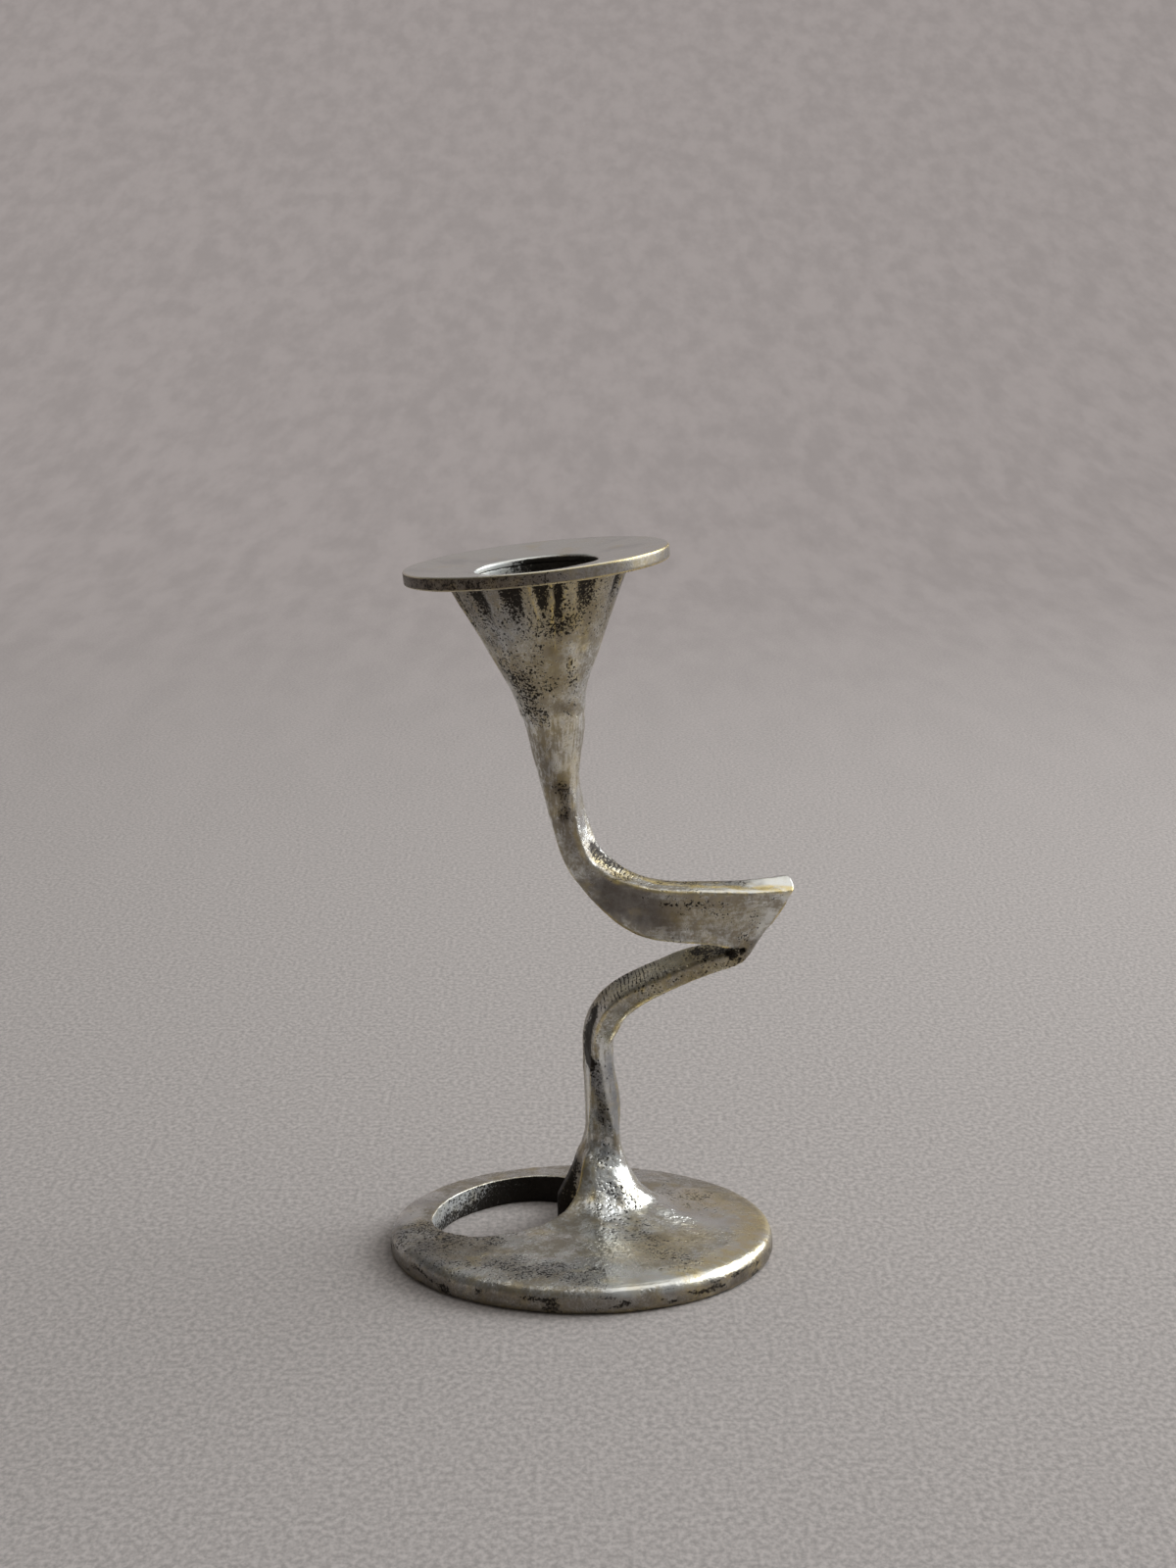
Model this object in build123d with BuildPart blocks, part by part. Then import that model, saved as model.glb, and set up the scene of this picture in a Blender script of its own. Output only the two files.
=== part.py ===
from build123d import *
import math
import os

os.makedirs("parts", exist_ok=True)

# Overall sizes of the stand
foot_radius = 37.0
stand_height = 135.0
ribbon_reach = 41.0
leg_setback = 10.0

# The bar that makes the stem: one depth, with a thickness for each casting
band_depth = 7.0
leg_thick = 7.7
arm_thick = 3.4
ribbon_tall = 10.6
neck_width = 7.1

# Foot disc
foot_rim_height = 4.8
foot_crown = 1.9
foot_top_round = 2.2
foot_under_round = 1.2

# Cup, socket and pan
socket_radius = 11.5
socket_depth = 9.0
cup_length = 27.1
cup_foot_radius = 6.1
cup_mouth_radius = 17.5
cup_step = 0.3
cup_seat = 0.8
cup_well_depth = 19.0
cup_well_radius = 4.0
flute_count = 15
flute_radius = 1.9
flute_length = 26.0
flute_bite = 0.95
flute_angle = 20.8
pan_radius = 25.0
pan_rim = 2.6
pan_dish = 1.4
pan_land = 0.9
pan_edge_round = 0.5

# Dowels that line the castings up, and the play in their holes
dowel_radius = 0.9
dowel_reach = 4.5
thick_dowel_radius = 1.3
thick_dowel_reach = 6.0
fold_dowel_radius = 0.7
fold_dowel_up = 5.0
fold_dowel_down = 1.3
fold_dowel_setback = 2.2
dowel_play = 0.05
dowel_end_play = 0.3

# How far a cut runs past the face it opens
overrun = 2.0

# Stations along the stem: across, back, up, slope and roll in degrees, deep, tall, corner
cup_joint_shares = (-0.132, 0.00, 0.7807, 83.9, 15.0)
neck_shares = [
    (-0.113, 0.00, 0.7281, 83.9, 15.0, 1.336, 1.317, 0.490),
    (-0.096, 0.00, 0.6800, 82.0, 16.0, 1.030, 1.000, 0.420),
    (-0.054, 0.02, 0.6259, 73.0, 22.0, 0.986, 0.806, 0.280),
    (-0.012, 0.03, 0.5874, 62.0, 27.0, 0.986, 0.754, 0.200),
    (0.056, 0.02, 0.5556, 46.0, 23.0, 0.957, 0.831, 0.150),
]
ribbon_shares = [
    (0.151, -0.02, 0.5289, 34.0, 17.0, 0.900, 0.736, 0.120),
    (0.273, -0.04, 0.5074, 20.0, 11.0, 0.886, 0.934, 0.110),
    (0.434, -0.04, 0.4970, 7.0, 10.0, 0.886, 1.020, 0.110),
    (0.585, -0.02, 0.4950, 3.0, 10.0, 0.886, 1.050, 0.110),
    (0.712, 0.06, 0.4905, 12.0, 11.0, 0.886, 1.165, 0.110),
    (0.805, 0.19, 0.4858, 22.0, 11.5, 0.886, 1.340, 0.100),
    (0.893, 0.34, 0.4815, 32.0, 12.0, 0.886, 1.630, 0.090),
]
arm_shares = [
    (0.841, 0.33, 0.4430, 162.0, -15.0, 0.971, 0.970, 0.220),
    (0.707, 0.38, 0.4304, 160.0, -15.0, 0.986, 0.970, 0.220),
    (0.563, 0.48, 0.4160, 159.0, -17.0, 1.030, 1.030, 0.220),
    (0.412, 0.60, 0.3975, 156.0, -18.0, 1.080, 0.970, 0.220),
    (0.239, 0.76, 0.3700, 151.0, -18.0, 1.100, 0.940, 0.220),
    (0.137, 0.86, 0.3430, 132.0, -20.0, 1.057, 1.090, 0.200),
    (0.088, 0.91, 0.3156, 110.0, -20.0, 1.043, 1.147, 0.200),
    (0.071, 0.925, 0.2852, 92.0, -20.0, 1.029, 1.116, 0.200),
    (0.072, 0.925, 0.2548, 90.0, -21.0, 1.029, 1.116, 0.200),
]
leg_shares = [
    (0.084, 0.98, 0.2148, 89.0, -16.0, 1.043, 0.597, 0.170),
    (0.095, 1.00, 0.1704, 89.0, -12.0, 1.057, 0.700, 0.150),
    (0.100, 1.01, 0.1370, 90.0, -7.0, 1.100, 0.857, 0.130),
    (0.102, 1.01, 0.1222, 90.0, -5.0, 1.129, 1.000, 0.120),
]
fold_up_share = 0.4393
fold_back_share = 0.21

# Round corners at the neck's top, as a share of its width
neck_top_corner_share = 0.495

# Flare under the leg, in shares of the foot radius: across, back, deep, tall, then rise and corner
flare_shares = [
    (0.108, 0.240, 0.255, 0.275, 0.75, 0.20),
    (0.108, 0.200, 0.360, 0.400, 0.42, 0.28),
    (0.108, 0.130, 0.580, 0.600, 0.22, 0.38),
    (0.108, 0.050, 0.880, 0.900, 0.09, 0.44),
    (0.108, 0.000, 1.160, 1.200, 0.01, 0.48),
]

# Opening through the foot, in shares of the foot radius
opening_shares = [
    (-0.784, 0.027),
    (-0.714, 0.330),
    (-0.503, 0.614),
    (-0.257, 0.719),
    (-0.086, 0.665),
    (-0.027, 0.486),
    (0.005, 0.270),
    (0.001, 0.140),
    (-0.097, -0.043),
    (-0.281, -0.205),
    (-0.492, -0.286),
    (-0.692, -0.195),
]

# Outer curve of the cup, in shares of its length and of its flare
cup_curve_shares = [(0.10, 0.04), (0.19, 0.097), (0.29, 0.20), (0.40, 0.327)]


def spot(across, back, up):
    return Vector(across * ribbon_reach, back * leg_setback, up * stand_height)


def place(across, back, up, slope, roll):
    along = Vector(1, 0, 0).rotate(Axis.Y, slope)
    inward = Vector(0, 1, 0).rotate(Axis((0, 0, 0), along), roll)
    return Plane(spot(across, back, up), x_dir=inward, z_dir=along)


def stations(rows, thickness):
    line = []
    for *where, deep_share, tall_share, corner_share in rows:
        deep = deep_share * band_depth
        tall = tall_share * thickness
        line.append((place(*where), deep, tall, corner_share * min(deep, tall)))
    return line


# Stations of each casting, where the last one of a casting is the first one of the next
cup_joint = place(*cup_joint_shares)
neck_top = 2 * (cup_foot_radius - cup_step)
neck_line = [(cup_joint, neck_top, neck_top, neck_top_corner_share * neck_top)]
neck_line += stations(neck_shares, neck_width)
ribbon_line = neck_line[-1:] + stations(ribbon_shares, ribbon_tall)
arm_line = stations(arm_shares, arm_thick)
leg_line = arm_line[-1:] + stations(leg_shares, leg_thick)

# Places that neighbouring pieces share
ribbon_joint = neck_line[-1][0]
ribbon_end = ribbon_line[-1][0]
leg_joint = leg_line[0][0]
foot_joint = leg_line[-1][0]
fold_height = fold_up_share * stand_height
end_lean = ribbon_end.z_dir.Z / ribbon_end.z_dir.X
fold_tip = ribbon_end.origin.X + (ribbon_end.origin.Z - fold_height) * end_lean
fold_joint = Plane((fold_tip - fold_dowel_setback, fold_back_share * leg_setback, fold_height))
toward_front = Vector(0, -1, 0)
cup_axis = -cup_joint.z_dir
cup_side = Plane(cup_joint.origin, x_dir=cup_axis.cross(toward_front), z_dir=toward_front)
cup_rim = Plane(cup_joint.origin + cup_axis * cup_length, z_dir=cup_axis)
pan_side = Plane(cup_rim.origin, x_dir=cup_side.x_dir, z_dir=toward_front)

# Radius and length of the holes for the dowels
hole = (dowel_radius + dowel_play, 2 * (dowel_reach + dowel_end_play))
thick_hole = (thick_dowel_radius + dowel_play, 2 * (thick_dowel_reach + dowel_end_play))
fold_hole_radius = fold_dowel_radius + dowel_play

# Foot: a crowned disc, the flare that carries the leg, and the opening beside it
flare_rise = foot_joint.origin.Z - foot_rim_height
with BuildPart() as foot:
    with BuildSketch(Plane.XZ) as foot_profile:
        with BuildLine():
            crown = (0, foot_rim_height + foot_crown)
            Polyline(crown, (0, 0), (foot_radius, 0), (foot_radius, foot_rim_height))
            TangentArc(crown, (foot_radius, foot_rim_height), tangent=(1, 0))
        make_face()
        fillet(foot_profile.vertices().group_by(Axis.X)[-1].sort_by(Axis.Y)[0], foot_under_round)
        fillet(foot_profile.vertices().group_by(Axis.X)[-1].sort_by(Axis.Y)[-1], foot_top_round)
    revolve(axis=Axis.Z)
    root, deep, tall, corner = leg_line[-1]
    with BuildSketch(root):
        RectangleRounded(deep, tall, corner)
    for across, back, deep_share, tall_share, rise_share, corner_share in flare_shares:
        height = foot_rim_height + rise_share * flare_rise
        center = (across * foot_radius, back * foot_radius, height)
        deep = deep_share * foot_radius
        with BuildSketch(Plane(center, x_dir=(0, 1, 0), z_dir=(0, 0, -1))):
            RectangleRounded(deep, tall_share * foot_radius, corner_share * deep)
    loft()
    with BuildSketch(Plane.XY.offset(-overrun)):
        with BuildLine():
            Spline(*[(x * foot_radius, y * foot_radius) for x, y in opening_shares], periodic=True)
        make_face()
    extrude(amount=foot_joint.origin.Z + 2 * overrun, mode=Mode.SUBTRACT)
    with Locations(foot_joint):
        Cylinder(*thick_hole, mode=Mode.SUBTRACT)
foot.part.label = "foot"
export_step(foot.part, "parts/foot.step")

# Leg: the twisted upright bar
with BuildPart() as leg:
    for where, deep, tall, corner in leg_line:
        with BuildSketch(where):
            RectangleRounded(deep, tall, corner)
    loft()
    with Locations(foot_joint):
        Cylinder(*thick_hole, mode=Mode.SUBTRACT)
    with Locations(leg_joint):
        Cylinder(*hole, mode=Mode.SUBTRACT)
leg.part.label = "leg"
export_step(leg.part, "parts/leg.step")

# Arm: bends out of the leg and runs up to the fold, where the ribbon sits on it
with BuildPart() as arm:
    for where, deep, tall, corner in arm_line:
        with BuildSketch(where):
            RectangleRounded(deep, tall, corner)
    loft()
    split(bisect_by=ribbon_end, keep=Keep.BOTTOM)
    split(bisect_by=fold_joint, keep=Keep.BOTTOM)
    with Locations(leg_joint):
        Cylinder(*hole, mode=Mode.SUBTRACT)
    with BuildSketch(fold_joint):
        Circle(fold_hole_radius)
    extrude(amount=-(fold_dowel_down + dowel_end_play), mode=Mode.SUBTRACT)
arm.part.label = "arm"
export_step(arm.part, "parts/arm.step")

# Ribbon: the broad band from the fold back to the neck
with BuildPart() as ribbon:
    for where, deep, tall, corner in ribbon_line:
        with BuildSketch(where):
            RectangleRounded(deep, tall, corner)
    loft()
    split(bisect_by=fold_joint, keep=Keep.TOP)
    with Locations(ribbon_joint):
        Cylinder(*hole, mode=Mode.SUBTRACT)
    with BuildSketch(fold_joint):
        Circle(fold_hole_radius)
    extrude(amount=fold_dowel_up + dowel_end_play, mode=Mode.SUBTRACT)
ribbon.part.label = "ribbon"
export_step(ribbon.part, "parts/ribbon.step")

# Neck: tapers from the cup into the ribbon
with BuildPart() as neck:
    for where, deep, tall, corner in neck_line:
        with BuildSketch(where):
            RectangleRounded(deep, tall, corner)
    loft()
    with Locations(ribbon_joint):
        Cylinder(*hole, mode=Mode.SUBTRACT)
    with Locations(cup_joint):
        Cylinder(*thick_hole, mode=Mode.SUBTRACT)
neck.part.label = "neck"
export_step(neck.part, "parts/neck.step")

# Candle cup: a fluted trumpet with a straight socket over a tapered well
cup_flare = cup_mouth_radius - cup_foot_radius
curve_points = [(cup_foot_radius + out * cup_flare, up * cup_length) for up, out in cup_curve_shares]
flute_ring = cup_mouth_radius + (flute_radius - flute_bite) / math.cos(math.radians(flute_angle))
with BuildPart() as candle_cup:
    with BuildSketch(cup_side):
        with BuildLine():
            Spline((cup_foot_radius, 0), *curve_points)
            Polyline(
                curve_points[-1],
                (cup_mouth_radius, cup_length),
                (socket_radius, cup_length),
                (socket_radius, cup_length - socket_depth),
                (socket_radius - cup_seat, cup_length - socket_depth),
                (cup_well_radius, cup_length - cup_well_depth),
                (0, cup_length - cup_well_depth),
                (0, 0),
                (cup_foot_radius, 0),
            )
        make_face()
    revolve(axis=Axis(cup_joint.origin, cup_axis))
    with Locations(cup_rim):
        with PolarLocations(flute_ring, flute_count):
            Cylinder(flute_radius, flute_length, rotation=(0, flute_angle, 0), mode=Mode.SUBTRACT)
    with Locations(cup_joint):
        Cylinder(*thick_hole, mode=Mode.SUBTRACT)
candle_cup.part.label = "candle_cup"
export_step(candle_cup.part, "parts/candle_cup.step")

# Drip pan: a dished disc with the candle hole
with BuildPart() as drip_pan:
    with BuildSketch(pan_side) as pan_profile:
        with BuildLine():
            Polyline(
                (socket_radius, 0),
                (pan_radius, 0),
                (pan_radius, pan_rim),
                (pan_radius - pan_land, pan_rim),
                (socket_radius, pan_rim - pan_dish),
                close=True,
            )
        make_face()
        fillet(pan_profile.vertices().group_by(Axis.X)[-1], pan_edge_round)
    revolve(axis=Axis(cup_joint.origin, cup_axis))
drip_pan.part.label = "drip_pan"
export_step(drip_pan.part, "parts/drip_pan.step")

# Dowels across the brazed joints
with BuildPart() as foot_dowel:
    with Locations(foot_joint):
        Cylinder(thick_dowel_radius, 2 * thick_dowel_reach)
foot_dowel.part.label = "foot_dowel"
export_step(foot_dowel.part, "parts/foot_dowel.step")

with BuildPart() as leg_dowel:
    with Locations(leg_joint):
        Cylinder(dowel_radius, 2 * dowel_reach)
leg_dowel.part.label = "leg_dowel"
export_step(leg_dowel.part, "parts/leg_dowel.step")

with BuildPart() as fold_dowel:
    with BuildSketch(fold_joint.offset(-fold_dowel_down)):
        Circle(fold_dowel_radius)
    extrude(amount=fold_dowel_down + fold_dowel_up)
fold_dowel.part.label = "fold_dowel"
export_step(fold_dowel.part, "parts/fold_dowel.step")

with BuildPart() as ribbon_dowel:
    with Locations(ribbon_joint):
        Cylinder(dowel_radius, 2 * dowel_reach)
ribbon_dowel.part.label = "ribbon_dowel"
export_step(ribbon_dowel.part, "parts/ribbon_dowel.step")

with BuildPart() as neck_dowel:
    with Locations(cup_joint):
        Cylinder(thick_dowel_radius, 2 * thick_dowel_reach)
neck_dowel.part.label = "neck_dowel"
export_step(neck_dowel.part, "parts/neck_dowel.step")
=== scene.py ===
import bmesh
import bpy
import math
import numpy as np
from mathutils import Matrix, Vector, noise


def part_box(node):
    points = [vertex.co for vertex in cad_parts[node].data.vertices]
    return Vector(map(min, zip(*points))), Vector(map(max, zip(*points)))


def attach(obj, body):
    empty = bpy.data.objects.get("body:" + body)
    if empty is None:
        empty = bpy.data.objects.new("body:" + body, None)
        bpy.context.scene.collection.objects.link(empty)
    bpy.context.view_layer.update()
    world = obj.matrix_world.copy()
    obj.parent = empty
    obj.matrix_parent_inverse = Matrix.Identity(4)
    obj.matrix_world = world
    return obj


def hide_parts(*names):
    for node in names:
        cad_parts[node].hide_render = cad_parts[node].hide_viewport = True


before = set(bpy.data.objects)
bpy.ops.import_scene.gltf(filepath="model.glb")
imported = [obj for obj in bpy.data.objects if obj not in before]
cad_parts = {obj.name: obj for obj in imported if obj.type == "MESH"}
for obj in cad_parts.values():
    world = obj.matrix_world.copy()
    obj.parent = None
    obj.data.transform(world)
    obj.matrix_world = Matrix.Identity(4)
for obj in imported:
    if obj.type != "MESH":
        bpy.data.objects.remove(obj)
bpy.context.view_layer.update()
scene = bpy.context.scene
mm = 0.001


# Meshes are handled as rows of points, in millimetres while they are being shaped
def meshPoints(mesh):
    points = np.empty(len(mesh.vertices) * 3)
    mesh.vertices.foreach_get("co", points)
    return points.reshape(-1, 3) / mm


def meshLinks(mesh):
    links = np.empty(len(mesh.edges) * 2, np.int32)
    mesh.edges.foreach_get("vertices", links)
    return links.reshape(-1, 2)


def meshNormals(mesh, points):
    mesh.vertices.foreach_set("co", (points * mm).ravel())
    mesh.update()
    normals = np.empty(len(mesh.vertices) * 3, np.float32)
    mesh.vertex_normals.foreach_get("vector", normals)
    return normals.reshape(-1, 3).astype(float)


def relaxed(points, links, rounds, share=0.5):    # each point moves towards the middle of its neighbours
    near, far = links[:, 0], links[:, 1]
    count = np.maximum(np.bincount(links.ravel(), minlength=len(points)), 1)
    points = points.copy()
    for _ in range(rounds):
        means = np.empty_like(points)
        for axis in range(3):
            column = points[:, axis]
            means[:, axis] = np.bincount(near, column[far], len(column))
            means[:, axis] += np.bincount(far, column[near], len(column))
        points += share * (means / count[:, None] - points)
    return points


def noiseAt(points, size, seed):
    shift = Vector((31.7, 12.9, 57.1)) * seed
    return np.array([noise.noise(Vector(p) + shift) for p in (points / size).tolist()])


def smoothStep(low, high, values):
    t = np.clip((values - low) / (high - low), 0, 1)
    return t * t * (3 - 2 * t)


def lineGap(points, line):    # how far each point is from a line, and its share of the way along it
    line = np.array(line, float)
    if len(line) == 1:
        return np.linalg.norm(points - line[0], axis=1), np.zeros(len(points))
    best, along, run = np.full(len(points), 1e9), np.zeros(len(points)), 0.0
    for a, b in zip(line[:-1], line[1:]):
        step = b - a
        length = np.linalg.norm(step)
        t = np.clip((points - a) @ step / length ** 2, 0, 1)
        gap = np.linalg.norm(points - a - t[:, None] * step, axis=1)
        closer = gap < best
        best[closer], along[closer] = gap[closer], (run + t * length)[closer]
        run += length
    return best, along / run


def blot(points, line, width, ragged):    # 1 along the line, 0 from the width on, with a ragged border
    gap = lineGap(points, line)[0] + ragged * width
    return 1 - smoothStep(0.1, 1.0, gap / width)


def paint(mesh, name, values):
    layer = mesh.attributes.new(name, "FLOAT", "POINT")
    layer.data.foreach_set("value", values.astype(np.float32))


def appliedMesh(obj):
    graph = bpy.context.evaluated_depsgraph_get()
    return bpy.data.meshes.new_from_object(obj.evaluated_get(graph))


def asMesh(form, name):
    mesh = bpy.data.meshes.new(name)
    form.to_mesh(mesh)
    form.free()
    return mesh


def addObject(name, data):
    obj = bpy.data.objects.new(name, data)
    scene.collection.objects.link(obj)
    return obj


# Joint planes: the dowels lie across them
def dowelPlane(node):
    points = meshPoints(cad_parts[node].data) * mm
    low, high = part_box(node)
    axis = np.linalg.svd(points - points.mean(0), full_matrices=False)[2][0]
    return (low + high) / 2, Vector(axis * np.sign(axis[2]))


footPlane = (Vector((0, 0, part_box("leg")[0].z)), Vector((0, 0, 1)))
legPlane = (Vector((0, 0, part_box("arm")[0].z)), Vector((0, 0, 1)))
foldPlane = (Vector((0, 0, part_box("arm")[1].z)), Vector((0, 0, 1)))
ribbonPlane = dowelPlane("ribbon_dowel")
cupPlane = dowelPlane("neck_dowel")

cupFoot, cupAxis = cupPlane
cupRight = Vector((0, 1, 0)).cross(cupAxis).normalized()
cupFront = cupRight.cross(cupAxis).normalized()
print("cup axis", cupAxis, "right", cupRight, "front", cupFront)

# Each casting has filed flats, worn edges and ridges, then finishes as strokes: a line, a width and an
# amount; some strokes paint shade, highlights and sky reflections
foot = {
    "flats": [
        {"at": (7.5, 3.6, 12.1), "facing": (0.62, -0.45, 0.64), "middle": (9.5, 3.5, 10), "radius": 7.5},
    ],
    # root of the leg, flank of the boss, and rim
    "worn": [
        {"line": [(4.5, 6.5, 15.5), (5.5, 7.5, 18.5)], "width": 6.0, "rounds": 30},
        {"line": [(8, 4, 12.5), (10, 3, 10), (16, 0, 7.3)], "width": 6.0, "rounds": 45},
        {"line": [(36, 2, 4.6), (34, -12, 4.6), (25, -26, 4.6), (10, -35, 4.6)], "width": 3.2, "rounds": 30},
    ],
    "ridges": [
        {"line": [(2.7, 5.6, 20), (3, 3, 11.6), (2.7, -4, 7.8), (3.4, -18, 6.2)], "width": 3.0, "rise": 0.65},
        {"line": [(9.5, 5.5, 10.8), (12.5, 3.6, 8.6), (16, 2, 7.2), (22, -4, 6.1)], "width": 3.4, "rise": 1},
        {"line": [(6.4, 2.4, 11.5), (8.0, -4, 7.6), (11, -17, 6.2)], "width": 2.8, "rise": -0.8},
        {"line": [(0.4, -0.5, 9.5), (-3, -8, 6.8), (-5, -16, 6.2)], "width": 3.6, "rise": -0.45},
    ],
    # the wall at the right end of the opening sweeps up into the back of the leg
    "web": {
        "top": 21.0, "foot": 6.5, "push": 4.8, "bend": 1.7, "front": (7.6, 11.0), "back": (11.5, 25),
        "left": (-12, -6), "right": (1.5, 4.5),
    },
    # painted shade: the last dark stroke and the last brown stroke darken the web that sweeps up behind the
    # opening
    "soot": [
        ([(-18, -14, 6), (-30, -4, 5.5)], 9, 0.46), ([(-20, -24, 5.5), (0, -30, 5.5)], 7, 0.46),
        ([(10, -10, 6.5), (18, -22, 5.6)], 9, 0.36), ([(12, 14, 6.5), (22, 12, 6)], 9, 0.34),
        ([(6, 2, 11), (9, 0, 9)], 3.5, 0.4), ([(5, 5.4, 16), (4, 2, 11)], 2.6, 0.15),
        ([(-34, -8, 5), (-24, -20, 5.3)], 7, 0.36), ([(-2, 10.5, 12.5), (-5, 11, 7)], 4.0, 0.75),
    ],
    "brown": [
        ([(-28, -14, 5.5), (-8, -30, 5.3)], 8, 0.35), ([(-4, 3, 14), (-3, 0, 9), (-4, -6, 7)], 4, 0.5),
        ([(-20, -18, 5.7)], 6, 0.4), ([(9, -8, 7), (15, -12, 6.2)], 3.5, 0.45), ([(-30, 10, 5.5)], 6, 0.4),
        ([(-1, 10, 15), (-5, 11, 8)], 4.5, 0.7),
    ],
    "bright": [
        ([(8, 4.5, 13), (14, 1.5, 8)], 5.0, 0.85), ([(20, 10, 6), (24, 0, 6)], 12, 1.0),
        ([(8, -28, 5.4), (3, -14, 7)], 7, 0.48), ([(34, -8, 5), (24, -26, 5), (8, -34, 5)], 5.0, 0.95),
        ([(3, 5.5, 17), (3.1, 3, 11.6), (3.4, -3, 8)], 3.0, 1.0), ([(-34, 2, 5), (-30, 16, 5)], 4, 0.5),
        ([(5, 3.5, 12), (5.5, -2, 8.3)], 2.8, 0.85), ([(-18, -26, 5.4), (-4, -25, 5.6)], 9, 0.35),
    ],
    "brass": [
        ([(34, 2, 5), (31, -15, 5), (20, -28, 5)], 6, 0.7), ([(8, 5, 11), (14, 1, 8)], 3, 0.3),
        ([(2.2, 4.6, 16), (2.0, 0, 9.5)], 1.2, 0.9), ([(24, 12, 6), (33, 6, 5.5)], 11, 0.55),
        ([(10, -20, 6), (22, -10, 6)], 10, 0.4), ([(-2, 4, 13), (-4, -1, 8.5)], 3.5, 0.4),
    ],
    "cool": [
        ([(5.4, 2, 11), (6, -5, 7.6)], 3, 0.45), ([(-36, 0, 3), (-28, -22, 3)], 5, 0.6),
        ([(-4, -26, 5.5), (8, -24, 5.6)], 6, 0.5), ([(22, 6, 6), (30, 0, 5.6)], 6, 0.3),
    ],
    "pitted": [
        ([(4.5, 5.5, 18), (5, 2, 11), (6, -4, 8)], 5, 1.0), ([(8, -14, 6.4), (2, -26, 5.6)], 10, 0.5),
        ([(9, 3.5, 11), (14, 1, 8), (20, -3, 6.5)], 5, 0.9),
        ([(-14, -10, 6), (-28, -10, 5.6), (-8, -28, 5.5)], 12, 0.5),
        ([(14, 8, 6.5), (30, 4, 5.6), (20, -20, 5.6)], 10, 0.4),
    ],
}
leg = {
    "flats": [
        {"at": (5.0, 6.3, 28), "facing": (0.746, -0.656, 0.106), "middle": (5.5, 8, 28), "radius": 15},
        {"at": (5.0, 6.3, 28), "facing": (-0.447, -0.885, -0.127), "middle": (3, 7, 27), "radius": 13},
    ],
    # its right side, up into the inside of the bend
    "ridges": [{
        "line": [
            (7, 10, 17), (6.6, 9.5, 28), (6.2, 9.2, 36), (7, 7.5, 42),
            (9.5, 6.5, 46), (15, 5, 51), (24, 3, 55),
        ],
        "width": 3.2, "rise": 1.5,
    }],
    "soot": [
        ([(1.3, 8.2, 45), (1.2, 8.2, 43), (1.6, 8.1, 36)], 3.2, 1.0),
        ([(3.0, 6.6, 35), (4.0, 6.2, 20)], 2.2, 0.38), ([(3.4, 6.2, 21), (5, 5.4, 16)], 2.4, 0.28),
    ],
    "brown": [([(3.0, 6.6, 34), (3.8, 6.2, 22)], 2.2, 0.5)],
    "bright": [
        ([(5, 6.5, 30), (4, 5.7, 41)], 3, 0.4), ([(1.2, 8.7, 36), (1.2, 8.6, 20)], 1.6, 0.7),
        ([(3.4, 6.2, 36), (5, 6.4, 28.5), (6.4, 6.8, 22)], 1.0, 1.0),
        ([(5.8, 7, 36), (6.6, 7.6, 22)], 2.2, 0.7), ([(4.6, 6, 21), (5.2, 5.2, 15)], 2.6, 0.9),
    ],
    # painted reflection: the cool strokes tint the facets blue-grey, as a reflection of the sky would
    "cool": [([(5.8, 7, 36), (6.6, 7.6, 22)], 2.6, 0.9), ([(2.6, 6.8, 34), (4, 5.8, 17)], 2.2, 0.9)],
    # no bare edge on these
    "plain": [
        ([(7, 9.5, 17), (6.4, 9.5, 30), (6.4, 8.5, 40)], 4.5, 1.0),
        ([(3.4, 6.2, 36), (5, 6.4, 28.5), (6.4, 6.8, 22)], 1.4, 1.0),
    ],
}
arm = {
    "worn": [{"line": [(4, 7, 47), (9, 5.5, 51), (17, 4, 54.5), (29, 1, 58.3)], "width": 2.6, "rounds": 14}],
    # painted shadow: the dark strokes and the first brown stroke darken the crotch of the fold, under the
    # ribbon
    "soot": [([(29, 1.5, 59), (22, 5, 58)], 3.4, 0.75), ([(30.7, 0.3, 59.4)], 1.1, 1.0)],
    "brown": [
        ([(20, 4.5, 57), (30, 2, 59)], 5.0, 0.6), ([(10, 5, 48.5), (20, 3.2, 53.5), (29, 1, 57.3)], 3.5, 0.5),
    ],
    "bright": [([(5, 6, 46), (10, 6.5, 51.5), (18, 5.5, 56)], 4, 0.45)],
    "brass": [
        ([(6, 6.5, 48), (14, 6, 54), (24, 4.5, 58)], 4.5, 0.4),
        ([(10, 5, 48.5), (20, 3.2, 53.5), (29, 1, 57.3)], 3.5, 0.3),
    ],
    "pitted": [([(12, 4, 51), (30, 1, 57.5)], 3.5, 0.9)],
    "plain": [
        ([(4, 7, 47), (9, 5.5, 51), (17, 4, 54.5), (29, 1, 58.3)], 2.6, 0.8),
        ([(6.4, 8.5, 40), (9.5, 6.5, 45), (15, 5, 50), (26, 2, 55.5)], 4.5, 1.0),
    ],
}
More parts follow.
